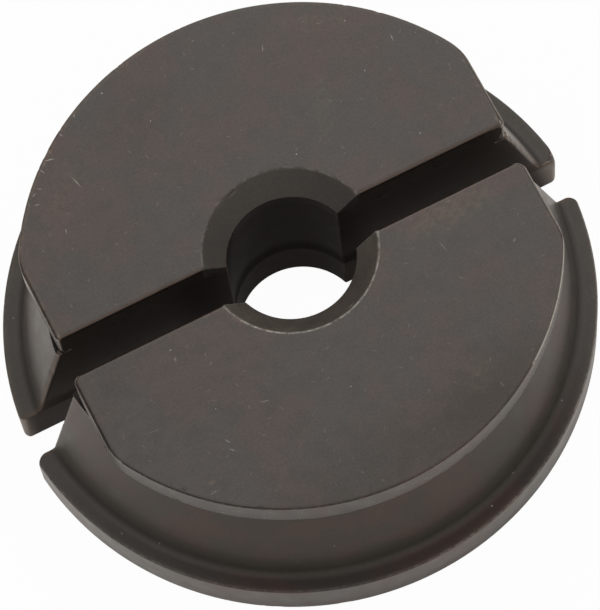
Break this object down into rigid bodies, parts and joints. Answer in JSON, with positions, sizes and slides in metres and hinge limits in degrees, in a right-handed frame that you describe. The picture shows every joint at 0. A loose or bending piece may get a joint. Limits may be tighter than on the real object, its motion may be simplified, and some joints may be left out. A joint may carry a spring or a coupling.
{
  "type": "split bearing race installer",
  "caption": "Split steel race installer: flanged half rings with a tapered seat, a hooked collar with flats, and a countersunk bore for a driver shaft.",
  "frame": {"origin": "on the bore's axis at the underside of the flange, midway between the two halves", "axes": "+Z along the bore axis from the flange up to the collar's flat top, +X along the split between the halves, +Y from the front half towards the rear half"},
  "size_m": [0.0686, 0.0668, 0.0242],
  "materials": {
    "black_steel": "black oxide over fine turned and ground faces, worn at the edges"
  },
  "bodies": {
    "front": {"front_half": "black_steel"},
    "rear": {"rear_half": "black_steel"}
  },
  "joints": [
    {"name": "halves_spread", "type": "slide", "parent": "front", "child": "rear", "axis": [0, 1, 0], "range_m": [-0.00455, 0.00176]}
  ]
}
